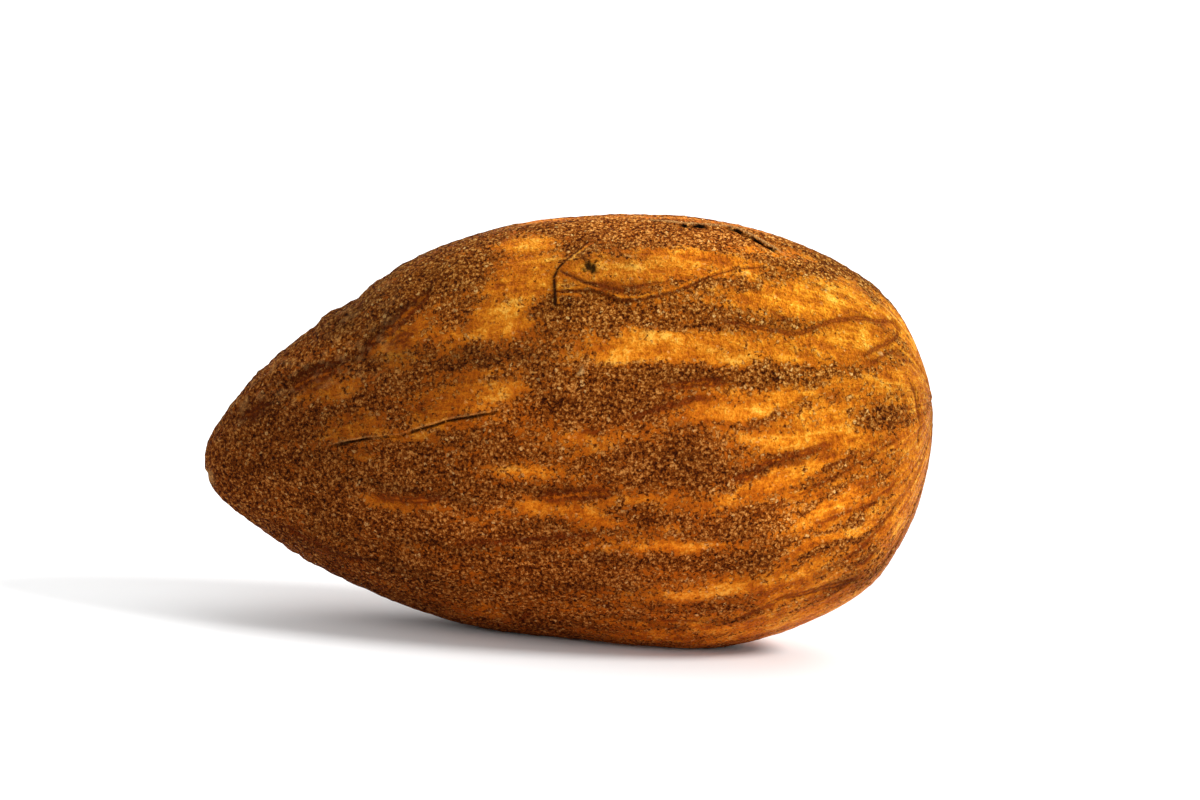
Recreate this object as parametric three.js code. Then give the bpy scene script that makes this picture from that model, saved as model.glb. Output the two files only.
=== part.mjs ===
// A whole shelled almond kernel in its brown skin, standing on the flattened stretch of its narrow edge.
// Millimetres, +Z up. The pointed end looks along -X, a broad face looks along -Y, and the origin is under the
// middle of the kernel's box, on the surface that it stands on.
import * as THREE from "three";
import { mergeVertices } from "three/addons/utils/BufferGeometryUtils.js";

const LENGTH = 23.8;
const THICKNESS = 8.8;

// The two ends of the kernel, which its skin closes over: how high each one lies.
const TIP_HEIGHT = 5.0;
const BLUNT_END_HEIGHT = 7.6;

// The upright outline between the ends: [x, height of the underside, height of the top].
// The underside dips a little below zero where the kernel's edge is worn flat.
const OUTLINE = [
  [-11.42, 3.66, 6.3],
  [-10.2, 2.84, 7.98],
  [-8.4, 1.82, 9.74],
  [-7.0, 1.2, 10.84],
  [-5.6, 0.7, 12.02],
  [-3.2, 0.14, 13.16],
  [-0.2, -0.2, 13.84],
  [3.0, -0.38, 14.14],
  [5.8, 0.02, 13.84],
  [8.2, 0.94, 13.1],
  [10.2, 2.34, 11.82],
  [11.42, 4.6, 9.9],
];

// Seen from above, the kernel is thickest a little towards its blunt end and thins to both ends.
const THICKEST_AT = 2.5;
const END_THINNING = 0.18;
const THICKNESS_POWER = 0.85;

const RINGS_PER_STATION = 4;
const POINTS_PER_RING = 72;

// The outline as one closed curve: over the top from the tip to the blunt end, and back along the underside.
const HALF = LENGTH / 2;
const overTheTop = OUTLINE.map(([x, , top]) => new THREE.Vector3(x, 0, top));
const underneath = OUTLINE.map(([x, under]) => new THREE.Vector3(x, 0, under)).reverse();
const outline = new THREE.CatmullRomCurve3(
  [
    new THREE.Vector3(-HALF, 0, TIP_HEIGHT),
    ...overTheTop,
    new THREE.Vector3(HALF, 0, BLUNT_END_HEIGHT),
    ...underneath,
  ],
  true,
  "centripetal",
);
const RINGS = RINGS_PER_STATION * (OUTLINE.length + 1);
const TALLEST = Math.max(...OUTLINE.map(([, under, top]) => top - under));

// Half the kernel's thickness where it is this tall, at this place along it.
function halfThickness(tall, x) {
  const fromThickest = (x - THICKEST_AT) / HALF;
  const plump = 1 - END_THINNING * fromThickest ** 2;
  return (THICKNESS / 2) * plump * (tall / TALLEST) ** THICKNESS_POWER;
}

// One ring of points round the kernel, an upright ellipse cut off level at the surface that it stands on.
function ring(i) {
  const share = i / RINGS / 2;
  const top = outline.getPoint(share);
  const under = outline.getPoint(1 - share);
  const middle = top.clone().add(under).multiplyScalar(0.5);
  const upwards = top.clone().sub(under).multiplyScalar(0.5);
  const sideways = halfThickness(2 * upwards.length(), middle.x);
  return Array.from({ length: POINTS_PER_RING }, (_, j) => {
    const angle = (2 * Math.PI * j) / POINTS_PER_RING;
    const point = middle.clone().addScaledVector(upwards, Math.sin(angle));
    point.y = sideways * Math.cos(angle);
    point.z = Math.max(point.z, 0);
    return point;
  });
}

// A closed skin over the rings, with a fan of triangles at each end.
function kernelGeometry() {
  const tip = outline.getPoint(0);
  const bluntEnd = outline.getPoint(0.5);
  const rings = Array.from({ length: RINGS - 1 }, (_, i) => ring(i + 1));
  const corners = [];
  for (let j = 0; j < POINTS_PER_RING; j++) {
    const next = (j + 1) % POINTS_PER_RING;
    corners.push(tip, rings[0][next], rings[0][j]);
    for (let i = 0; i < rings.length - 1; i++) {
      const [a, b] = [rings[i][j], rings[i][next]];
      const [c, d] = [rings[i + 1][j], rings[i + 1][next]];
      corners.push(a, b, d, a, d, c);
    }
    const last = rings[rings.length - 1];
    corners.push(bluntEnd, last[j], last[next]);
  }
  const skin = mergeVertices(new THREE.BufferGeometry().setFromPoints(corners), 1e-4);
  skin.computeVertexNormals();
  return skin;
}

const skinBrown = new THREE.MeshStandardMaterial({
  color: 0x8a4f22,
  roughness: 0.65,
  metalness: 0,
});

const almond = new THREE.Group();
const kernel = new THREE.Mesh(kernelGeometry(), skinBrown);
kernel.name = "kernel";
almond.add(kernel);

export default almond;
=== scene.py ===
from math import cos, radians, sin

import bpy
import numpy as np
from mathutils import Matrix, Vector, noise
from mathutils.bvhtree import BVHTree


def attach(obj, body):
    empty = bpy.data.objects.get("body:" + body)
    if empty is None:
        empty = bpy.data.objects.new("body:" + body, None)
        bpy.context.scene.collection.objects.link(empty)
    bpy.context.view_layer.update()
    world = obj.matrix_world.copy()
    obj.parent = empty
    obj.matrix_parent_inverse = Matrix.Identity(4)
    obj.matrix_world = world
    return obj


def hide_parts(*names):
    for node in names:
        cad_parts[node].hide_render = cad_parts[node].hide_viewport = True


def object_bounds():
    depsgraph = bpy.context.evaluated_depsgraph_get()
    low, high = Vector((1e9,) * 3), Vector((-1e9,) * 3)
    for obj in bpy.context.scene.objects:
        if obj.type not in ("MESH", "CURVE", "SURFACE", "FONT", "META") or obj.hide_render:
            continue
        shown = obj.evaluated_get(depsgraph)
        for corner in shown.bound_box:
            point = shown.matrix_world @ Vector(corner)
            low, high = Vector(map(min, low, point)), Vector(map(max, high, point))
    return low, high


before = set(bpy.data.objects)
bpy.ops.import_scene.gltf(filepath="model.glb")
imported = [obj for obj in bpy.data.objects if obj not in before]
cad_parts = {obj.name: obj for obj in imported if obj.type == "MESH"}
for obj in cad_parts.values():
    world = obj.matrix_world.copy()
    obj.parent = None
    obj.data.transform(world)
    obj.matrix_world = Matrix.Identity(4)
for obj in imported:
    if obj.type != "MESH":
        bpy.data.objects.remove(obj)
cad_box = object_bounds()


# ---------------------------------------------------------------------------------------------------------
# The kernel's body. The real one is a single almond seed: two hard white halves that grew closed inside one
# brown skin, a flat teardrop with a pointed tip at -X and a round blunt end. It stands on a worn stretch of
# its edge.
# ---------------------------------------------------------------------------------------------------------
# The frame is in metres, and sizes here are in millimetres.
MM = 0.001
BLOCK_SPAN = (25.6, 8.4, 13.6)
BLOCK_MIDDLE = (0.0, 0.0, 7.0)
CUTS_ALONG, CUTS_ACROSS, CUTS_UP = 5, 2, 4
# The block is drawn in to the tip: (how far from the blunt end, thickness left, height left, its middle's
# height).
TAPER = [(1.0, 0.5, 0.33, 4.85), (0.8, 0.85, 0.7, 6.3), (0.0, 0.6, 0.62, 7.4)]

bpy.ops.object.select_all(action="DESELECT")
cad_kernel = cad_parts["kernel"]
last = cad_kernel.copy()
last.data = cad_kernel.data.copy()
last.name = "shoemakers_last"
last.parent = None
bpy.context.scene.collection.objects.link(last)
last.select_set(True)
bpy.context.view_layer.objects.active = last
bpy.ops.object.mode_set(mode="EDIT")
bpy.ops.mesh.select_all(action="SELECT")
bpy.ops.mesh.remove_doubles(threshold=1e-6)
bpy.ops.mesh.tris_convert_to_quads()
bpy.ops.object.mode_set(mode="OBJECT")


def press(piece, kind, name, **settings):
    """Puts a modifier on the piece and applies it at once."""
    bpy.context.view_layer.objects.active = piece
    pressed = piece.modifiers.new(name, kind)
    for key, value in settings.items():
        setattr(pressed, key, value)
    bpy.ops.object.modifier_apply(modifier=name)


press(last, "SUBSURF", "round_off", levels=1, render_levels=1)

bpy.ops.object.select_all(action="DESELECT")
bpy.ops.mesh.primitive_cube_add(size=1.0)
kernel = bpy.context.object
kernel.name = kernel.data.name = "almond_kernel"
kernel.scale = [span * MM for span in BLOCK_SPAN]
kernel.location = [at * MM for at in BLOCK_MIDDLE]
bpy.ops.object.transform_apply(location=True, rotation=True, scale=True)
bpy.ops.object.mode_set(mode="EDIT")
for axis, cuts in enumerate((CUTS_ALONG, CUTS_ACROSS, CUTS_UP)):
    for i in range(1, cuts):
        place, facing = list(BLOCK_MIDDLE), [0.0, 0.0, 0.0]
        place[axis] += BLOCK_SPAN[axis] * (i / cuts - 0.5)
        facing[axis] = 1.0
        bpy.ops.mesh.select_all(action="SELECT")
        bpy.ops.mesh.bisect(plane_co=[at * MM for at in place], plane_no=facing)
bpy.ops.object.mode_set(mode="OBJECT")
for share, thickness, height, middle in TAPER:
    ring_at = (BLOCK_MIDDLE[0] + BLOCK_SPAN[0] * (0.5 - share)) * MM
    for corner in kernel.data.vertices:
        corner.select = abs(corner.co.x - ring_at) < 0.2 * MM
    bpy.ops.object.mode_set(mode="EDIT")
    bpy.ops.mesh.select_mode(type="VERT")
    centre = (ring_at, 0, BLOCK_MIDDLE[2] * MM)
    bpy.ops.transform.resize(value=(1, thickness, height), center_override=centre)
    bpy.ops.transform.translate(value=(0, 0, (middle - BLOCK_MIDDLE[2]) * MM))
    bpy.ops.object.mode_set(mode="OBJECT")
WRAP = {"target": last, "wrap_method": "NEAREST_SURFACEPOINT"}
press(kernel, "SUBSURF", "plump_up", levels=2, render_levels=2)
press(kernel, "SHRINKWRAP", "onto_the_last", **WRAP)
press(kernel, "SMOOTH", "even_out", factor=0.5, iterations=4)
press(kernel, "SHRINKWRAP", "onto_it_again", **WRAP)
press(kernel, "SUBSURF", "finer", levels=3, render_levels=3)
press(kernel, "SHRINKWRAP", "once_more", **WRAP)
press(kernel, "SMOOTH", "ease", factor=0.5, iterations=6)


def read(field, width=3, domain="vertices"):
    """One number or vector for each point, edge or face of the kernel, as rows."""
    values = np.zeros(len(getattr(kernel.data, domain)) * width)
    getattr(kernel.data, domain).foreach_get(field, values)
    return values.reshape(-1, width) if width > 1 else values


def bare_skin():
    """The kernel as it is now, in millimetres, to drop lines onto."""
    return BVHTree.FromPolygons(
        [Vector(v) for v in read("co") / MM], [tuple(p.vertices) for p in kernel.data.polygons])


FROM_FRONT = (Vector((0, -12, 0)), Vector((0, 1, 0)))
FROM_ABOVE = (Vector((0, 0, 20)), Vector((0, 0, -1)))


def laid(pairs, side=FROM_FRONT, step=0.1):
    """The (along, height) pairs, or (along, depth) from above, joined into a line that lies on the skin."""
    start, way = side
    found = []
    for (a0, b0), (a1, b1) in zip(pairs, pairs[1:]):
        steps = max(2, int(np.hypot(a1 - a0, b1 - b0) / step))
        for i in range(steps + 1):
            a, b = a0 + (a1 - a0) * i / steps, b0 + (b1 - b0) * i / steps
            point = start + (Vector((a, 0, b)) if side is FROM_FRONT else Vector((a, b, 0)))
            hit = skin_now.ray_cast(point, way)[0]
            if hit is not None:
                found.append(hit)
    return np.array(found)


def away_from(line, places, reach=1.4):
    """How far each place lies from the line, and how far along it from its start and from its end."""
    near, from_start = np.full(len(places), 9.0), np.zeros(len(places), int)
    low, high = line.min(0) - reach, line.max(0) + reach
    inside = np.flatnonzero(((places > low) & (places < high)).all(1))
    for start in range(0, len(inside), 4000):
        some = inside[start:start + 4000]
        nearest = np.linalg.norm(places[some, None, :] - line[None, :, :], axis=2).argmin(1)
        for before in (1, 0):
            leg_start = line[np.maximum(nearest - before, 0)]
            leg = line[np.minimum(nearest + 1 - before, len(line) - 1)] - leg_start
            share = ((places[some] - leg_start) * leg).sum(1) / np.maximum((leg * leg).sum(1), 1e-9)
            gap = np.linalg.norm(places[some] - leg_start - leg * np.clip(share, 0, 1)[:, None], axis=1)
            near[some] = np.minimum(near[some], gap)
        from_start[some] = nearest
    walked = np.append(0, np.cumsum(np.linalg.norm(np.diff(line, axis=0), axis=1)))
    return near, walked[from_start], walked[-1] - walked[from_start]


# ---------------------------------------------------------------------------------------------------------
# The lines on the front face: veins that show as reddish threads, and three places where the dry skin has
# given way, a crack, a lifted flake and a split along the top edge. Pairs are (along, height).
# ---------------------------------------------------------------------------------------------------------
# Each vein: how dark it is from 0 to 1, its half width, and its way.
VEINS = [
    (0.9, 0.07, [(4.3, 11.4), (5.6, 11.2), (6.9, 11.05), (7.2, 11.1), (8.1, 11.45), (9.0, 11.55),
                 (10.2, 11.4), (10.45, 11.15), (10.3, 10.9), (9.8, 10.7), (9.1, 10.3)]),
    (0.8, 0.07, [(10.6, 10.6), (10.1, 10.5), (9.5, 10.2), (9.1, 10.15)]),
    (0.6, 0.08, [(5.5, 11.95), (6.2, 11.7), (6.6, 11.45), (7.0, 11.35), (7.2, 11.2)]),
    (0.5, 0.09, [(7.0, 11.0), (6.9, 10.7), (7.1, 10.4), (7.6, 10.3)]),
    (0.9, 0.10, [(2.6, 9.15), (3.9, 9.35), (4.6, 9.45), (5.2, 9.4)]),
    (0.8, 0.11, [(1.6, 8.0), (2.4, 8.3), (3.1, 8.6), (3.9, 8.85), (4.6, 8.9)]),
    (0.8, 0.13, [(5.1, 6.25), (5.8, 6.5), (6.4, 6.9), (7.0, 7.2), (7.6, 7.35), (8.2, 7.6), (8.7, 7.8)]),
    (0.5, 0.12, [(5.2, 7.85), (6.0, 8.1), (6.6, 8.4), (7.2, 8.6)]),
    (0.4, 0.10, [(9.0, 9.0), (10.2, 8.95)]),
    (0.7, 0.12, [(0.0, 7.45), (0.8, 7.6), (1.4, 7.55)]),
    (1.0, 0.18, [(-1.0, 5.25), (0.0, 5.4), (1.0, 5.6), (1.8, 5.6)]),
    (0.5, 0.12, [(-3.6, 3.35), (-2.3, 3.5), (-0.6, 3.9), (0.5, 4.1), (1.6, 4.2)]),
    (0.5, 0.10, [(-0.3, 6.3), (0.5, 6.35)]),
    (0.6, 0.11, [(7.6, 5.0), (8.4, 5.0), (9.1, 5.35), (10.0, 5.6), (10.6, 6.2), (11.0, 6.9)]),
    (0.6, 0.11, [(9.0, 3.6), (9.7, 4.0), (10.3, 4.7), (10.8, 5.5), (11.0, 6.0)]),
    (0.6, 0.10, [(9.3, 3.3), (10.0, 3.6), (10.6, 4.3)]),
    (0.9, 0.13, [(6.8, 2.1), (7.8, 2.4), (8.6, 2.6), (9.5, 2.8), (10.0, 3.0)]),
    (0.7, 0.14, [(5.8, 1.3), (6.5, 1.8), (7.5, 2.2)]),
    (0.5, 0.10, [(3.0, 1.2), (4.3, 1.3), (5.2, 1.25)]),
    (0.6, 0.09, [(3.6, 4.65), (4.2, 4.65)]),
    (0.4, 0.10, [(0.3, 3.45), (1.2, 3.4), (2.0, 3.2)]),
    (1.0, 0.15, [(-7.0, 9.2), (-6.2, 9.9), (-5.6, 10.5), (-5.0, 11.2), (-4.8, 11.6)]),
    (1.0, 0.15, [(-6.3, 9.4), (-5.7, 9.8), (-5.0, 10.1)]),
    (0.9, 0.16, [(-9.4, 7.5), (-8.6, 8.1), (-7.9, 8.4), (-7.4, 8.6)]),
    (0.9, 0.10, [(-8.7, 7.6), (-8.2, 7.9), (-7.9, 8.3)]),
    (0.9, 0.16, [(-11.0, 6.2), (-10.6, 6.6), (-10.0, 7.0), (-9.6, 7.3)]),
    (0.6, 0.09, [(-7.2, 7.15), (-6.7, 7.25), (-6.2, 7.2)]),
    (0.9, 0.12, [(-6.3, 4.75), (-5.5, 4.7), (-4.8, 4.65), (-4.0, 4.9), (-3.6, 5.0)]),
    (0.6, 0.16, [(-9.6, 3.3), (-8.5, 2.9), (-7.6, 2.5), (-6.7, 2.3), (-6.0, 2.4)]),
    (0.7, 0.07, [(-1.3, 0.5), (-0.9, 1.0), (-0.5, 1.4)]),
    (0.6, 0.09, [(-0.2, 12.1), (0.5, 12.1), (1.4, 12.0), (2.2, 12.3), (3.0, 12.4)]),
    (0.6, 0.08, [(10.7, 9.9), (11.1, 9.2), (11.35, 8.2), (11.4, 7.2)]),
    (0.5, 0.08, [(10.5, 9.6), (10.75, 9.0), (11.0, 8.0)]),
    (0.4, 0.08, [(5.4, 8.0), (6.4, 8.5), (7.4, 9.0), (8.6, 9.3)]),
    (0.5, 0.08, [(6.0, 5.2), (7.5, 5.9), (8.7, 6.6), (10.0, 7.4), (10.8, 8.0)]),
    (0.5, 0.08, [(7.9, 6.6), (9.2, 7.3), (10.3, 8.0)]),
    (0.7, 0.10, [(-9.3, 7.9), (-8.4, 8.5), (-7.4, 8.9), (-6.9, 9.3)]),
    (0.8, 0.09, [(-7.2, 8.9), (-6.4, 9.6), (-5.8, 10.1), (-5.3, 10.8)]),
]
CRACK = [(-7.9, 6.0), (-7.0, 6.35), (-6.2, 6.6), (-5.4, 6.75), (-4.8, 7.05), (-4.0, 7.4), (-3.0, 7.7),
         (-2.3, 7.9), (-1.8, 8.2)]
FLAKE_LEFT = [(-0.62, 12.6), (-0.75, 12.42), (-0.85, 12.2), (-0.8, 11.9), (-0.75, 11.4)]
FLAKE_TOP = [(-0.75, 12.42), (-0.5, 12.7), (-0.2, 13.0), (0.1, 13.25)]
FLAKE_LOW = [(-0.78, 11.75), (0.3, 11.9), (0.9, 11.82), (1.3, 11.7), (1.9, 11.75), (2.6, 11.95), (3.2, 12.15),
             (4.1, 12.6), (5.0, 12.9), (6.3, 13.0)]
FLAKE_FOLD = [(-0.65, 12.35), (-0.3, 12.25), (0.2, 12.1), (0.9, 12.0)]
FLAKE_SINKS = (0.5, 5.5)
# The split runs along the top, so its pairs are (along, depth) from above.
SPLIT = [(2.2, -0.8), (3.3, -0.9), (4.7, -0.6), (5.3, -0.9), (6.2, -1.3), (6.7, -1.5)]
FINE_WITHIN, FINEST_WITHIN = 0.185, 0.105

skin_now = bare_skin()
vein_lines = [laid(way) for dark, half, way in VEINS]
crack_line, split_line = laid(CRACK), laid(SPLIT, FROM_ABOVE)
flake_left, flake_top, flake_low = laid(FLAKE_LEFT), laid(FLAKE_TOP), laid(FLAKE_LOW)
flake_fold = laid(FLAKE_FOLD)
pit_line, speck_line = laid([(0.1, 12.5), (0.45, 12.7)]), laid([(0.1, 9.38), (0.35, 9.42)])
torn_lines = [crack_line, split_line, flake_left, flake_top, flake_low, flake_fold, pit_line, speck_line]
for within, lines in ((FINE_WITHIN, vein_lines + torn_lines), (FINEST_WITHIN, torn_lines)):
    middles = read("center", domain="polygons") / MM
    near_any = np.min([away_from(line, middles)[0] for line in lines], axis=0)
    bpy.ops.object.mode_set(mode="EDIT")
    bpy.ops.mesh.select_mode(type="FACE")
    bpy.ops.mesh.select_all(action="DESELECT")
    bpy.ops.object.mode_set(mode="OBJECT")
    kernel.data.polygons.foreach_set("select", near_any < within)
    bpy.ops.object.mode_set(mode="EDIT")
    bpy.ops.mesh.subdivide(number_cuts=1)
    bpy.ops.object.mode_set(mode="OBJECT")
bpy.data.objects.remove(last)

smooth_place = read("co") / MM
smooth_outward = read("normal")
count = len(smooth_place)
along_x, depth_y, height = smooth_place.T

# The grain of the skin runs from the tip to the blunt end like the lines of longitude on a globe. "grain"
# holds the place between the ends, and the direction out of the kernel's middle line as a ring 10 mm across.
STATIONS = 41
GRAIN_MEETS_ABOVE_MIDDLE = 1.5
FLATNESS = 1.6
RING = 5
stations = np.linspace(along_x.min() + 0.05, along_x.max() - 0.05, STATIONS)
middle_height = []
for station in stations:
    slab = height[np.abs(along_x - station) < 0.35]
    middle_height.append((slab.min() + slab.max()) / 2)
middle_height = np.array(middle_height) + GRAIN_MEETS_ABOVE_MIDDLE * np.linspace(0, 1, STATIONS) ** 3
height_out = height - np.interp(along_x, stations, middle_height)
depth_out = depth_y * FLATNESS
reach_out = np.maximum(np.hypot(height_out, depth_out), 1e-6)
grain = np.column_stack([along_x, RING * depth_out / reach_out, RING * height_out / reach_out])


def mottle(places, size, seed, octaves=2):
    """Soft noise from about -1 to 1 at each place, with blotches of that size in millimetres."""
    shift = Vector((seed * 7.31, seed * 3.77, seed * 5.13))
    out = np.zeros(len(places))
    for i, place in enumerate(places):
        out[i] = noise.fractal(Vector(place / size) + shift, 0.8, 2.1, octaves)
    return out


def ease(low, high, value):
    """0 below low, 1 above high, smooth in between."""
    share = np.clip((value - low) / (high - low), 0, 1)
    return share * share * (3 - 2 * share)


STREAK, WAVE = np.array([6.0, 1.0, 1.0]), np.array([4.0, 1.0, 1.0])
WAVE_HEIGHT, SWELL_HEIGHT = 0.06, 0.05
wander = np.column_stack([mottle(smooth_place, 1.6, s) for s in (1, 2, 3)])
fine_wander = np.column_stack([mottle(smooth_place, 0.45, s) for s in (4, 5, 6)])
streaks = mottle(grain / STREAK, 0.9, 7)
narrow_streaks = mottle(grain / STREAK, 0.42, 8)
blotches = mottle(smooth_place, 2.4, 9)
scurf_lumps = mottle(smooth_place, 0.30, 10)
crumbs = mottle(smooth_place, 0.17, 13, 1)

# The skin dried onto the seed in long low waves.
lift = WAVE_HEIGHT * mottle(grain / WAVE, 1.5, 11) + SWELL_HEIGHT * mottle(smooth_place, 3.4, 12)

# The upper edge has a knot and a nick just behind the tip: (along, half width, how far out).
KNOTS = [(-8.2, 0.45, 0.09), (-7.25, 0.3, -0.07), (-6.7, 0.35, 0.05)]
for knot_at, half, raised in KNOTS:
    lift += raised * ease(half, 0.0, np.abs(along_x - knot_at)) * ease(0.3, 0.6, smooth_outward[:, 2])

# "vein" counts half widths from the nearest vein, and never comes near 0 at a faint one or past its ends.
NO_VEIN = 9.0
FAINTER = 1.6
wavy = smooth_place + 0.05 * fine_wander
vein = np.full(count, NO_VEIN)
for (dark, half, way), line in zip(VEINS, vein_lines):
    gap, begun, left = away_from(line, wavy)
    ends = ease(0.6, 0.0, begun) + ease(0.6, 0.0, left)
    vein = np.minimum(vein, gap / half + FAINTER * (1 - dark) + 1.8 * ends + 0.25 * streaks)

# On the other face and the edges, which are like the front, chance veins keep to the grain.
CHANCE_VEINS = 46
VEIN_RIDGE, VEIN_GROOVE = 0.014, 0.03
random = np.random.default_rng(8)
frontness = ease(0.1, -0.35, smooth_outward[:, 1])
around = np.arctan2(grain[:, 2], grain[:, 1])
for i in range(CHANCE_VEINS):
    middle, length = random.uniform(-9, 10.5), random.uniform(1.2, 5.0)
    turned, slope = random.uniform(-np.pi, np.pi), random.normal(0, 0.035)
    dark, half = random.uniform(0.3, 0.9), random.uniform(0.07, 0.2)
    from_middle = wavy[:, 0] - middle
    bend = turned + slope * from_middle + 0.05 * np.sin(1.3 * from_middle + 6 * random.random())
    gap = np.abs((around - bend + np.pi) % (2 * np.pi) - np.pi) * reach_out * 0.75
    ends = ease(0.6, 1.0, np.abs(from_middle) / length)
    chance_vein = gap / half + FAINTER * (1 - dark) + 2.5 * ends
    chance_vein += NO_VEIN * ease(0.3, 0.7, frontness) + NO_VEIN * (ends > 0.99)
    vein = np.minimum(vein, chance_vein)
lift += VEIN_RIDGE * ease(0.9, 0.2, vein) - VEIN_GROOVE * ease(2.2, 1.0, vein)

# Smooth amber skin shows between the rough scurf, in patches: (along, height, half length, half width, tilt,
# how bare).
AMBER_PATCHES = [
    (3.3, 12.95, 2.9, 0.3, 6, 0.95), (6.9, 12.25, 2.3, 0.38, -3, 1.0), (8.9, 11.75, 1.2, 0.25, -12, 0.8),
    (8.6, 10.85, 1.5, 0.5, 0, 1.0), (4.6, 10.45, 2.4, 0.45, 0, 0.85), (9.5, 9.6, 1.0, 0.4, 0, 0.95),
    (6.5, 8.9, 1.7, 0.22, 16, 0.95), (4.2, 8.2, 1.3, 0.3, 3, 0.8), (8.1, 8.15, 0.95, 0.45, 10, 0.95),
    (6.1, 7.5, 1.0, 0.35, 12, 0.6), (9.2, 7.7, 1.1, 0.18, 21, 0.85), (7.5, 6.6, 1.7, 0.32, 20, 1.0),
    (9.25, 6.3, 1.6, 0.27, 39, 0.95), (8.2, 5.4, 0.7, 0.35, 30, 0.85), (5.3, 5.6, 0.6, 0.3, 20, 0.7),
    (9.15, 4.7, 1.4, 0.27, 37, 0.95), (7.7, 3.5, 0.8, 0.42, 25, 0.95), (5.0, 2.5, 2.2, 0.25, 4, 0.75),
    (11.2, 9.6, 0.7, 0.5, 90, 0.8), (11.1, 7.6, 0.9, 0.3, 82, 0.7), (10.7, 5.2, 1.0, 0.25, 62, 0.7),
    (4.0, 4.1, 1.1, 0.25, 0, 0.45), (4.6, 0.8, 1.5, 0.25, 0, 0.6),
    (-1.9, 12.3, 0.9, 0.9, 0, 0.95), (-2.3, 10.7, 0.7, 0.7, 0, 0.85), (-2.1, 11.5, 1.7, 0.6, 62, 0.9),
    (0.3, 12.35, 1.1, 0.4, 6, 0.9), (1.6, 10.4, 1.4, 0.5, 5, 0.85),
    (-0.2, 9.7, 0.9, 0.25, 0, 0.8), (-2.8, 8.7, 1.4, 0.5, 5, 0.85), (1.2, 7.2, 1.2, 0.35, 5, 0.75),
    (0.9, 4.9, 1.9, 0.35, 3, 0.9), (-0.4, 6.3, 1.4, 0.3, 0, 0.45), (-2.4, 4.5, 1.2, 0.25, 0, 0.4),
    (2.8, 3.7, 1.6, 0.3, 0, 0.5), (-2.6, 0.8, 1.0, 0.25, -5, 0.7), (2.9, 0.75, 1.1, 0.25, 0, 0.5),
    (-5.6, 9.6, 0.9, 0.5, 40, 0.85), (-5.0, 10.3, 0.7, 0.25, 55, 0.7), (-7.7, 7.9, 1.1, 0.45, 20, 0.8),
    (-6.9, 6.9, 1.0, 0.35, 8, 0.85), (-6.8, 5.9, 0.6, 0.25, 0, 0.6), (-4.0, 7.8, 1.2, 0.45, 8, 0.85),
    (-4.2, 6.8, 1.2, 0.2, 8, 0.6), (-5.4, 4.5, 1.2, 0.2, -3, 0.75), (-3.9, 9.8, 0.6, 0.3, 0, 0.5),
]
# The scurf is thickest in these, laid out in the same way: how thick instead of how bare.
SCURF_PATCHES = [
    (1.6, 11.3, 2.8, 0.4, 0, 1.0), (4.8, 12.5, 1.6, 0.17, 4, 0.7), (7.2, 13.05, 2.0, 0.22, -4, 0.7),
    (2.0, 13.7, 3.0, 0.3, 0, 0.9), (6.0, 9.85, 3.0, 0.25, 3, 0.9), (1.2, 9.2, 1.8, 0.45, 0, 0.9),
    (1.5, 8.2, 2.2, 0.45, 0, 0.8), (10.1, 8.45, 0.9, 0.3, 0, 0.8), (3.4, 7.3, 1.8, 0.3, 8, 0.8),
    (3.3, 6.4, 1.9, 0.45, 0, 0.9), (5.6, 8.3, 1.2, 0.12, 15, 0.6), (6.3, 5.0, 1.7, 0.5, 12, 0.95),
    (3.4, 5.0, 1.8, 0.2, 0, 0.7), (4.4, 3.5, 2.2, 0.35, 0, 0.85), (6.4, 3.9, 1.0, 0.3, 25, 0.85),
    (1.0, 2.9, 2.2, 0.35, 0, 0.8), (5.5, 1.75, 2.5, 0.15, 8, 0.6), (8.6, 6.9, 1.2, 0.10, 30, 0.6),
    (8.6, 5.9, 1.6, 0.12, 38, 0.65), (9.4, 5.3, 1.4, 0.10, 42, 0.5), (8.6, 4.0, 1.2, 0.13, 35, 0.6),
    (9.0, 12.7, 1.0, 0.25, -35, 0.8),
]


strayed = smooth_place + 0.28 * wander + 0.14 * fine_wander


def patch(x, z, long, wide, tilt):
    """1 in the middle of a patch, fading to 0 outside it."""
    along = (strayed[:, 0] - x) * cos(radians(tilt)) + (strayed[:, 2] - z) * sin(radians(tilt))
    across = (strayed[:, 2] - z) * cos(radians(tilt)) - (strayed[:, 0] - x) * sin(radians(tilt))
    return ease(1.9, 0.3, np.hypot(along / long, across / wide))


# Between the patches the scurf thins out towards the blunt end: (along, how bare).
USUAL = [(-12, 0.05), (-9, 0.12), (-5, 0.2), (0, 0.3), (3, 0.52), (12, 0.6)]
usual = np.interp(along_x, *np.array(USUAL).T)
scurfy = 1 - usual
for *place, bare in AMBER_PATCHES:
    scurfy *= 1 - bare * patch(*place)
for *place, thick in SCURF_PATCHES:
    scurfy = 1 - (1 - scurfy) * (1 - thick * patch(*place))
other_amber = np.clip(usual + 1.0 * streaks + 0.7 * blotches, 0, 1)
amber = (1 - scurfy) * frontness + other_amber * (1 - frontness)
amber += 0.30 * narrow_streaks + 0.22 * streaks
amber += 0.25 * ease(10.3, 11.6, along_x)
amber -= 0.5 * ease(13.3, 13.8, height)
amber += 0.25 * ease(3.6, 2.0, height) * ease(5, 8, along_x)
amber = np.clip(amber, 0, 1)

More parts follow.
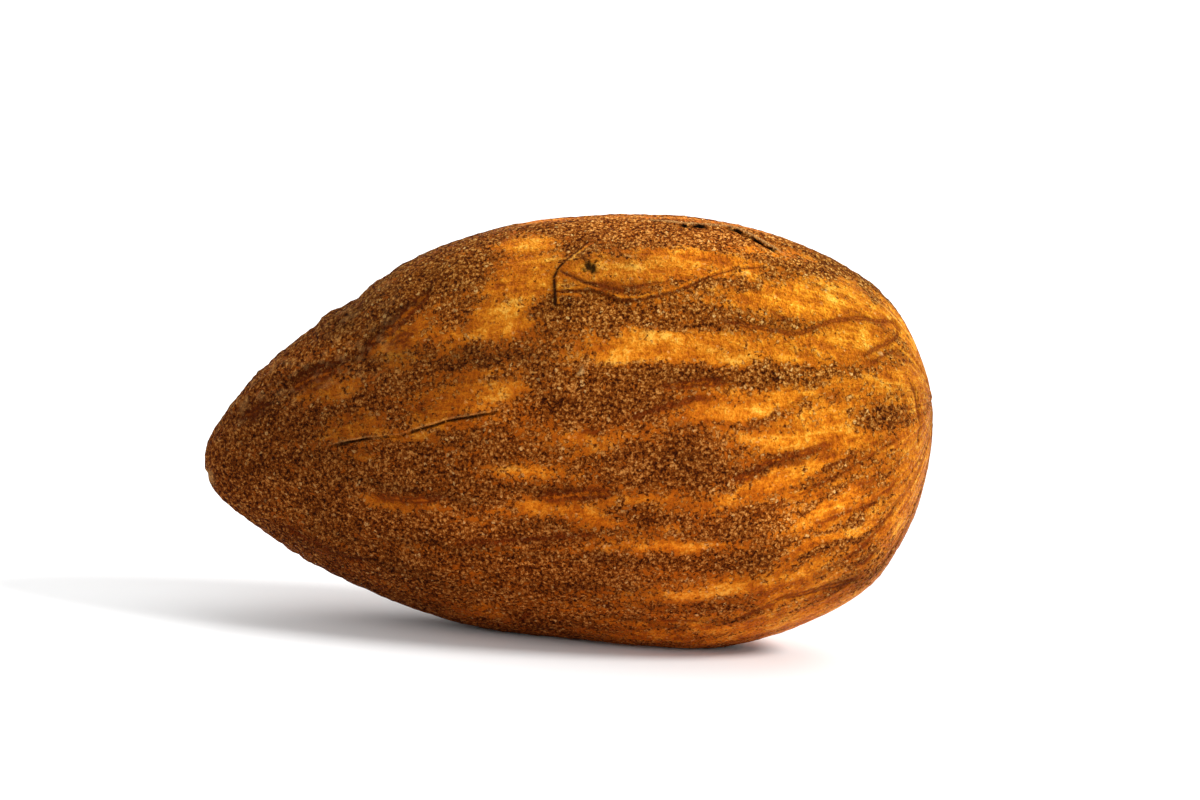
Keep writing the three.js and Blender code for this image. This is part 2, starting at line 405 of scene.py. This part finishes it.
# The skin is darker towards the tip and under the kernel, paler along the top edge and towards the blunt end,
# and yellower higher up: (along, how light) and (height, how yellow).
LIGHTNESS = [(-11.9, 0.92), (-10.5, 0.84), (-8, 0.84), (-5, 0.9), (-3, 1.07), (0, 1.15), (4, 1.2), (8, 1.22),
             (11.9, 0.95)]
YELLOWNESS = [(0, 0.78), (3, 0.86), (8, 0.92), (12, 1.05), (14, 1.02)]
tone = np.interp(along_x, *np.array(LIGHTNESS).T)
tone *= 1 + 0.45 * ease(12.9, 13.8, height) * ease(-5, 1, along_x)
tone *= 1 - 0.1 * ease(2.6, 0.4, height) * ease(6.5, 3.5, along_x)
# Stretches lighter or darker than the rest, laid out like the patches: how much lighter or darker. Some of
# the lighter ones, on ridges in the left half, are painted light.
SHADE_PATCHES = [
    (-4.6, 10.4, 1.0, 0.8, 50, 0.35), (-5.2, 11.6, 1.0, 0.4, 35, 0.15), (-3.4, 9.45, 2.2, 0.2, 5, -0.35),
    (-8.9, 6.0, 2.2, 0.9, 10, -0.2), (-7.5, 10.1, 0.9, 0.3, 40, -0.35), (-5.0, 5.0, 2.4, 0.12, -3, -0.3),
    (-2.5, 3.25, 4.5, 0.14, 2, -0.3), (-5.5, 2.2, 3.5, 0.14, -8, -0.3), (-2.8, 4.3, 1.6, 0.35, 0, 0.3),
    (-4.3, 3.8, 2.5, 0.2, -3, 0.2), (-1.0, 5.55, 2.0, 0.14, 2, -0.3), (0.5, 2.2, 3.5, 0.16, 0, -0.25),
    (4.3, 1.25, 3.0, 0.13, 3, -0.35), (2.5, 1.75, 3.0, 0.12, 0, -0.25), (7.0, 13.0, 1.6, 0.3, -5, 0.2),
    (-2.2, 8.0, 1.6, 0.25, 5, 0.2), (-8.2, 8.9, 1.2, 0.3, 30, 0.25), (6.9, 6.9, 1.5, 0.13, 15, -0.3),
    (-5.9, 10.4, 1.6, 0.12, 50, -0.45), (-8.4, 8.4, 1.3, 0.13, 25, -0.45), (-10.2, 6.9, 1.2, 0.25, 35, -0.3),
    (-3.0, 12.6, 0.9, 0.5, 20, 0.2), (0.5, 4.35, 3.0, 0.12, 0, -0.2), (8.8, 2.6, 1.6, 0.12, 15, -0.3),
]
for *place, lighter in SHADE_PATCHES:
    tone *= 1 + lighter * patch(*place) * frontness
tone *= 1 + 0.12 * blotches + 0.10 * streaks + 0.10 * narrow_streaks
tone *= 1 - 0.3 * amber * ease(-1.5, -5, along_x)
# A broad pool of painted light on the right of the front face.
tone *= 1 + 0.28 * ease(1.0, 0.3, np.hypot((along_x - 8) / 4, (height - 5.6) / 3.2))
# "tone" is for the skin's red, and "yellow" for its green and blue.
yellow = tone * np.interp(height, *np.array(YELLOWNESS).T)
yellow *= 1 + 0.12 * ease(4, 8, along_x)

# Where the skin gave way. The dark inside of each opening is painted shade, darkened towards black, and
# "husk" is the pale torn edge beside it.
# The crack nearly closes part of the way along.
CRACK_DEPTH, SPLIT_DEPTH, CRACK_CLOSES_AT = 0.10, 0.16, 2.45
gash_shade, husk = np.zeros(count), np.zeros(count)
gap, begun, left = away_from(crack_line, smooth_place + 0.02 * fine_wander)
depth = ease(0.0, 0.8, begun) * ease(0.0, 1.3, left)
depth *= 0.4 + 0.6 * ease(0.5, 1.0, np.abs(begun - CRACK_CLOSES_AT))
above = height > np.interp(along_x, *np.array(CRACK).T)
lift -= CRACK_DEPTH * depth * ease(0.065, 0.015, gap)
lift += 0.035 * depth * ease(0.45, 0.08, gap)
gash_shade = np.maximum(gash_shade, 0.85 * depth * ease(0.055, 0.02, gap))
husk = np.maximum(husk, 0.3 * depth * above * ease(0.04, 0.06, gap) * ease(0.12, 0.07, gap))

# The split is two ragged slits, darkened inside with painted shade, with a strip of pale lining folded out
# behind them.
gap = away_from(split_line, smooth_place + 0.03 * fine_wander)[0]
near_tip = ease(2.9, 3.2, along_x) * ease(4.1, 3.8, along_x)
near_blunt = ease(4.4, 4.9, along_x) * ease(6.5, 6.0, along_x)
depth = np.maximum(near_tip, near_blunt) * (0.35 + 0.65 * ease(-0.35, 0.15, scurf_lumps))
lift -= SPLIT_DEPTH * depth * ease(0.08, 0.03, gap)
behind = ease(0.0, 0.1, depth_y - np.interp(along_x, *np.array(SPLIT).T))
gash_shade = np.maximum(gash_shade, depth * ease(0.07 + 0.05 * behind, 0.04 + 0.05 * behind, gap))
strip = behind * ease(0.28, 0.2, gap) * ease(0.12, 0.15, gap)
strip *= ease(1.8, 2.2, along_x) * ease(6.6, 6.2, along_x)
lift += 0.05 * strip
husk = np.maximum(husk, 0.9 * strip)

# The flake is a raised sheet of skin that sinks back into the rest towards the blunt end.
FLAKE_RISE = 0.07
flake_floor = np.interp(along_x, *np.array(FLAKE_LOW).T)
flake_roof = np.interp(along_x, *np.array(FLAKE_TOP).T)
flake_start = np.interp(height, *np.array(FLAKE_LEFT[::-1]).T[::-1])
on_flake = ease(-0.05, 0.05, height - flake_floor) * ease(-0.04, 0.04, along_x - flake_start) * frontness
on_flake *= np.where(along_x < 0.1, ease(0.05, -0.05, height - flake_roof), ease(13.9, 12.9, height))
below_left = (height < flake_floor) & (height > 11.4)
on_flake = np.maximum(on_flake, below_left * frontness * ease(-0.04, 0.04, along_x - flake_start)
                      * ease(0.3, -0.3, along_x))
lift += FLAKE_RISE * on_flake * ease(FLAKE_SINKS[1], FLAKE_SINKS[0], along_x)
tone *= 1 - 0.22 * on_flake * ease(4.0, 2.0, along_x)
yellow *= 1 - 0.24 * on_flake * ease(4.0, 2.0, along_x)
# Its edges: (line, how dark, half width, whether it fades out). The dark along them is painted shade, and
# along the left edge a painted shadow of the step.
FLAKE_EDGES = [(flake_left, 0.85, 0.045, False), (flake_fold, 0.4, 0.04, True), (flake_low, 0.2, 0.03, True),
               (flake_top, 0.2, 0.03, False)]
for line, dark, half, fades in FLAKE_EDGES:
    gap, begun, left = away_from(line, smooth_place + 0.02 * fine_wander)
    fading = ease(0.0, 0.8, left) if fades else 1.0
    gash_shade = np.maximum(gash_shade, dark * fading * ease(2.0 * half, 0.5 * half, gap))
    vein = np.minimum(vein, gap / (1.2 * half) + 0.5 + 3 * (1 - fading))
    lip = on_flake * fading * ease(0.05, 0.09, gap) * ease(0.2, 0.12, gap)
    amber = np.maximum(amber, lip)
    lift += 0.02 * lip

# Small marks, each (along, height, half length, half height, lift, how much painted shade, husk). The painted
# shade darkens the pits.
MARKS = [
    (0.18, 12.62, 0.17, 0.12, -0.07, 0.95, 0.0), (0.38, 12.55, 0.12, 0.15, -0.06, 0.95, 0.0),
    (0.08, 12.48, 0.08, 0.06, -0.04, 0.8, 0.0), (0.45, 12.73, 0.07, 0.06, -0.04, 0.8, 0.0),
    (1.4, 12.75, 0.11, 0.08, -0.02, 0.4, 0.0),
    (0.2, 9.4, 0.15, 0.09, 0.08, 0.0, 1.0), (9.9, 10.5, 0.08, 0.08, 0.05, 0.0, 1.0),
    (3.1, 2.5, 0.09, 0.06, -0.02, 0.7, 0.0), (-11.72, 4.35, 0.24, 0.22, -0.03, 0.0, 0.5),
]
ragged = smooth_place + 0.16 * fine_wander
for x, z, long, tall, raised, dark, pale in MARKS:
    spot = ease(1.2, 0.6, np.hypot((ragged[:, 0] - x) / long, (ragged[:, 2] - z) / tall)) * (depth_y < 0.6)
    # The worn spot at the tip stays on its front.
    spot *= np.where(along_x < -11, ease(0.5, 0.15, np.abs(depth_y + 0.2)), 1)
    lift += raised * spot
    gash_shade, husk = np.maximum(gash_shade, dark * spot), np.maximum(husk, pale * spot)

# The scurf is coarsest round the edge near the tip, where the tops of its lumps that face up are paler.
LUMP_HEIGHT, CRUMB_HEIGHT, SCURF_THICKNESS = 0.026, 0.022, 0.02
edge = ease(0.5, 0.8, np.abs(smooth_outward[:, 2])) * ease(-4.5, -6.5, along_x)
pale_lump_tops = ease(-5, -7, along_x) * ease(0.1, 0.5, smooth_outward[:, 2])
pale_lump_tops *= ease(0.1, 0.6, scurf_lumps + 0.5 * crumbs)
smoothness = np.maximum(amber * (1 - 0.5 * edge), husk)
lift += (1 - smoothness) * (1 + edge) * (LUMP_HEIGHT * scurf_lumps + CRUMB_HEIGHT * crumbs)
lift += SCURF_THICKNESS * (1 - amber)
husk = np.maximum(husk, 0.22 * pale_lump_tops)

# The relief may not reach past the box that the kernel fills, or below the surface that it stands on.
WITHIN = 0.999
placed = smooth_place + smooth_outward * lift[:, None]
placed[:, 2] = np.maximum(placed[:, 2], 0)
box_low, box_high = (np.array(corner) / MM for corner in cad_box)
placed *= WITHIN * box_high / placed.max(0)
placed[:, :2] = np.maximum(placed[:, :2], WITHIN * box_low[:2])
kernel.data.vertices.foreach_set("co", (placed * MM).ravel())
kernel.data.update()
kernel.data.shade_smooth()


def mark(name, values, kind="FLOAT"):
    """Keeps what was worked out for each point of the skin, for the colouring to read."""
    layer = kernel.data.attributes.new(name, kind, "POINT")
    layer.data.foreach_set("vector" if kind == "FLOAT_VECTOR" else "value", np.ravel(values))


MARKED = {"amber": amber, "vein": vein, "tone": tone, "yellow": yellow, "gash_shade": gash_shade, "husk": husk}
for name, values in MARKED.items():
    mark(name, values)
mark("grain", grain, "FLOAT_VECTOR")


# ---------------------------------------------------------------------------------------------------------
# The skin's colouring: dull brown scurf, in crumbs a tenth of a millimetre wide, over smooth amber skin that
# turns redder where the scurf is thick and along the veins, with painted shade in the gaps and inside the
# openings and a few painted glints.
# ---------------------------------------------------------------------------------------------------------
# Scurf colours run from the gaps between the crumbs to their tops. The dark end is partly painted shade and
# the light end partly painted highlight.
SCURF_SHADES = [(0.0, (0.035, 0.005, 0.0002)), (0.3, (0.135, 0.026, 0.0011)), (0.5, (0.235, 0.058, 0.004)),
                (0.7, (0.35, 0.102, 0.011)), (1.0, (0.66, 0.28, 0.060))]
AMBER_SHADES = [(0.0, (0.20, 0.036, 0.001)), (0.3, (0.39, 0.088, 0.002)), (0.5, (0.52, 0.140, 0.004)),
                (0.7, (0.66, 0.215, 0.010)), (1.0, (0.84, 0.40, 0.05))]
UNDER_SCURF = (0.33, 0.074, 0.002, 1)
VEIN_RED = (0.15, 0.022, 0.001, 1)
VEIN_ORANGE = (0.50, 0.12, 0.003, 1)
# The black of the painted shade inside openings.
GASH_SHADE_BLACK = (0.008, 0.003, 0.001, 1)
HUSK_PALE = (0.90, 0.58, 0.23, 1)
# GLINT is the colour of a painted highlight.
GLINT = (0.92, 0.52, 0.17, 1)

skin = bpy.data.materials.new("seed_skin")
skin.use_nodes = True
skin.node_tree.nodes.clear()


def coat(kind, sockets=(), **settings):
    """One step of the skin's colouring: a node with its settings, its sockets filled or joined."""
    step = skin.node_tree.nodes.new("ShaderNode" + kind)
    for key, value in settings.items():
        setattr(step, key, value)
    for key, value in dict(sockets).items():
        if isinstance(value, bpy.types.NodeSocket):
            skin.node_tree.links.new(value, step.inputs[key])
        else:
            step.inputs[key].default_value = value
    return step


def sum_of(how, a, b):
    return coat("Math", {0: a, 1: b}, operation=how).outputs[0]


def weighed(*pairs):
    """The sum of values, each times its weight, less half of all the weights, plus a half."""
    total = 0.5 - sum(weight for value, weight in pairs) / 2
    for value, weight in pairs:
        total = coat("Math", {0: value, 1: weight, 2: total}, operation="MULTIPLY_ADD").outputs[0]
    return total


def blend(share, a, b, how="MIX"):
    return coat("Mix", {0: share, 6: a, 7: b}, data_type="RGBA", blend_type=how).outputs[2]


def between(value, low, high, to_low=0.0, to_high=1.0):
    return coat("MapRange", {0: value, 1: low, 2: high, 3: to_low, 4: to_high},
                interpolation_type="SMOOTHSTEP").outputs[0]


def shades(value, stops):
    ramp = coat("ValToRGB", {0: value})
    colours = ramp.color_ramp.elements
    while len(colours) < len(stops):
        colours.new(0.5)
    for stop, (at, colour) in zip(colours, stops):
        stop.position, stop.color = at, (*colour, 1)
    return ramp.outputs[0]


def fuzz(places, scale, detail=2.0, roughness=0.6, distortion=0.0):
    return coat("TexNoise", {"Vector": places, "Scale": scale, "Detail": detail, "Roughness": roughness,
                             "Distortion": distortion}).outputs[0]


skin_at = coat("Mapping", {0: coat("TexCoord").outputs["Object"], 3: (1000, 1000, 1000)}).outputs[0]
marked = {name: coat("Attribute", attribute_name=name).outputs["Fac"] for name in MARKED}
grain_at = coat("Attribute", attribute_name="grain").outputs["Vector"]
along_grain = coat("Mapping", {0: grain_at, 3: (0.22, 1.6, 1.6)}).outputs[0]

crumb = fuzz(skin_at, 9.5, 2.5, 0.68)
lump = fuzz(skin_at, 3.2, 2.0)
cloud = fuzz(skin_at, 0.9, 2.0)
push = coat("TexNoise", {"Vector": skin_at, "Scale": 9.0, "Detail": 1.0}).outputs["Color"]
bent = coat("VectorMath", {0: push, 1: (0.16, 0.16, 0.16), 2: skin_at}, operation="MULTIPLY_ADD").outputs[0]
cells = coat("TexVoronoi", {"Vector": bent, "Scale": 9.5, "Randomness": 1.0}, feature="F1")
crumb_shade = coat("SeparateColor", {0: cells.outputs["Color"]}).outputs[0]
dome = between(cells.outputs["Distance"], 0.95, 0.1)
wear = fuzz(skin_at, 7.3, 2.0, 0.6)
streaked = fuzz(along_grain, 1.6, 4.0, 0.65, 0.3)

# How high the crumbs stand, from 0 in the gaps to 1 on top. The scurf's colour follows it: the dark gaps are
# partly painted shade and the pale tops partly painted highlight, over the skin's own brown and tan.
crumb_height = weighed((crumb, 2.2), (crumb_shade, 0.40), (dome, 0.55), (lump, 0.4), (cloud, 0.35))
scurf_colour = shades(crumb_height, SCURF_SHADES)
amber_height = weighed((crumb, 0.95), (dome, 0.15), (streaked, 1.35), (cloud, 1.0), (lump, 1.1))
amber_colour = shades(amber_height, AMBER_SHADES)
amber_colour = blend(between(marked["amber"], 0.95, 0.2), amber_colour, UNDER_SCURF)

# A few crumbs get a pale gold painted highlight: painted glints.
glint_cells = coat("TexVoronoi", {"Vector": bent, "Scale": 5.5, "Randomness": 1.0}, feature="F1")
glint_pick = coat("SeparateColor", {0: glint_cells.outputs["Color"]}).outputs[1]
glint = sum_of("MULTIPLY", between(glint_cells.outputs["Distance"], 0.36, 0.2), between(glint_pick, 0.80, 0.95))

# The scurf wears away crumb by crumb.
grip = weighed((wear, 1.9), (crumb_shade, 0.4), (lump, 0.9))
sticks = between(sum_of("SUBTRACT", grip, marked["amber"]), -0.16, 0.12)
colour = blend(sticks, amber_colour, scurf_colour)
# The painted glints go mostly where the scurf is.
colour = blend(sum_of("MULTIPLY", glint, between(sticks, 0, 1, 0.25, 0.75)), colour, GLINT)
near_vein = sum_of("ADD", marked["vein"], sum_of("SUBTRACT", weighed((wear, 1.6), (lump, 0.6)), 0.5))
colour = blend(between(near_vein, 3.2, 1.2, 0.0, 0.25), colour, VEIN_RED)
colour = blend(between(near_vein, 1.5, 0.85, 0.0, 0.75), colour, VEIN_RED)
colour = blend(between(near_vein, 0.55, 0.15, 0.0, 0.7), colour, VEIN_ORANGE)
shade = coat("CombineColor", {0: marked["tone"], 1: marked["yellow"], 2: marked["yellow"]}).outputs[0]
colour = blend(1.0, colour, shade, "MULTIPLY")
colour = blend(marked["husk"], colour, blend(crumb, AMBER_SHADES[2][1] + (1,), HUSK_PALE))
# Painted shade: the openings, pits and the flake's edges are darkened towards black.
colour = blend(marked["gash_shade"], colour, GASH_SHADE_BLACK)

relief = blend(sticks, amber_height, crumb_height)
bumps = coat("Bump", {"Height": relief, "Distance": 0.00015, "Strength": 1.0}).outputs[0]
dullness = sum_of("MAXIMUM", between(sticks, 0, 1, 0.45, 0.8), marked["gash_shade"])
shine = coat("BsdfPrincipled", {"Base Color": colour, "Roughness": dullness, "Normal": bumps,
                                "Specular IOR Level": 0.04, "IOR": 1.45})
coat("OutputMaterial", {0: shine.outputs[0]})
kernel.data.materials.append(skin)

# For the bake, the two faces lie flat on a square sheet, one above the other, each let out towards its rim so
# that the rim keeps its width.
FLAT_MIDDLE = (1.0, 6.9)
# The sheet's width, how far each face lies above or below its middle, and how far aside.
SHEET, ROW, SHIFT = 29.6, 7.35, 1.0
flat_x, flat_z = (smooth_place[:, [0, 2]] - FLAT_MIDDLE).T
turn_of = np.arctan2(flat_z, flat_x)
out_to = np.hypot(flat_x, flat_z)
spokes = np.radians(np.arange(-180, 181, 3))
rim = []
for spoke in spokes:
    near_spoke = np.abs((turn_of - spoke + np.pi) % (2 * np.pi) - np.pi) < 0.04
    rim.append(out_to[near_spoke].max())
rim_here = np.interp(turn_of, spokes, rim)
corner_of = read("vertex_index", 1, "loops").astype(int)
sides = np.sign(read("center", domain="polygons")[:, 1] + 1e-9)
side_of = np.repeat(sides, read("loop_total", 1, "polygons").astype(int))
thick_share = side_of * (depth_y / depth_y.max())[corner_of]
out_share = (out_to / rim_here)[corner_of]
let_out = rim_here[corner_of] * (0.5 * out_share + np.arctan2(out_share, thick_share) / np.pi)
flat = np.column_stack([SHEET / 2 - side_of * (let_out * np.cos(turn_of[corner_of]) - SHIFT),
                        SHEET / 2 + let_out * np.sin(turn_of[corner_of]) - ROW * side_of])
bake_map = kernel.data.uv_layers.new(name="OFBake")
bake_map.data.foreach_set("uv", (flat / SHEET).ravel())
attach(kernel, "root")
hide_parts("kernel")


# ---------------------------------------------------------------------------------------------------------
# The surface that it stands on: one wide sheet of matt white card.
# ---------------------------------------------------------------------------------------------------------
bpy.ops.object.select_all(action="DESELECT")
bpy.ops.mesh.primitive_plane_add(size=6.0)
card = bpy.context.object
card.name = card.data.name = "white_card"
white = bpy.data.materials.new("matt_card")
white.use_nodes = True
white.node_tree.nodes["Principled BSDF"].inputs["Base Color"].default_value = (0.86, 0.86, 0.86, 1)
white.node_tree.nodes["Principled BSDF"].inputs["Roughness"].default_value = 0.9
card.data.materials.append(white)


# ---------------------------------------------------------------------------------------------------------
# Light: a small bright lamp on the right, a broad faint one above and behind, and a white room all round that
# lights the kernel a little less brightly than it looks.
# ---------------------------------------------------------------------------------------------------------
def lamp(name, towards, strength, width):
    """A far lamp at (azimuth to the right of straight in front, elevation), that many degrees wide."""
    azimuth, elevation = (radians(a) for a in towards)
    light = bpy.data.lights.new(name, "SUN")
    light.energy, light.angle = strength, radians(width)
    shown = bpy.data.objects.new(name, light)
    bpy.context.scene.collection.objects.link(shown)
    out = Vector((sin(azimuth) * cos(elevation), -cos(azimuth) * cos(elevation), sin(elevation)))
    shown.rotation_euler = out.to_track_quat("Z", "Y").to_euler()


lamp("lamp_right", (86, 38), 3.0, 14)
lamp("lamp_above", (150, 60), 1.2, 60)

ROOM_LOOKS, ROOM_LIGHTS = 1.0, 0.8
room = bpy.data.worlds.new("white_room")
bpy.context.scene.world = room
room.use_nodes = True
sky = room.node_tree
sky.nodes.clear()
seen = sky.nodes.new("ShaderNodeBackground")
seen.inputs["Strength"].default_value = ROOM_LOOKS
lit = sky.nodes.new("ShaderNodeBackground")
lit.inputs["Strength"].default_value = ROOM_LIGHTS
for glow in (seen, lit):
    glow.inputs["Color"].default_value = (1, 1, 1, 1)
path = sky.nodes.new("ShaderNodeLightPath")
either = sky.nodes.new("ShaderNodeMixShader")
out = sky.nodes.new("ShaderNodeOutputWorld")
sky.links.new(path.outputs["Is Camera Ray"], either.inputs[0])
sky.links.new(lit.outputs[0], either.inputs[1])
sky.links.new(seen.outputs[0], either.inputs[2])
sky.links.new(either.outputs[0], out.inputs[0])
bpy.context.scene.view_settings.view_transform = "Standard"


# ---------------------------------------------------------------------------------------------------------
# The camera: a long lens in front of the kernel and a little above it, rolled a few degrees.
# ---------------------------------------------------------------------------------------------------------
AIM = (0.92, 0.0, 7.87)
ELEVATION, ROLL, LENS, AWAY = 10.0, 4.5, 150.0, 163.9

camera = bpy.data.objects.new("camera", bpy.data.cameras.new("camera"))
camera.data.lens, camera.data.clip_start = LENS, 0.01
tilt = radians(ELEVATION)
back = Vector((0, -cos(tilt), sin(tilt)))
place = (Vector(AIM) + AWAY * back) * MM
turn = back.to_track_quat("Z", "Y").to_matrix() @ Matrix.Rotation(radians(ROLL), 3, "Z")
camera.matrix_world = Matrix.Translation(place) @ turn.to_4x4()
bpy.context.scene.collection.objects.link(camera)
bpy.context.scene.camera = camera
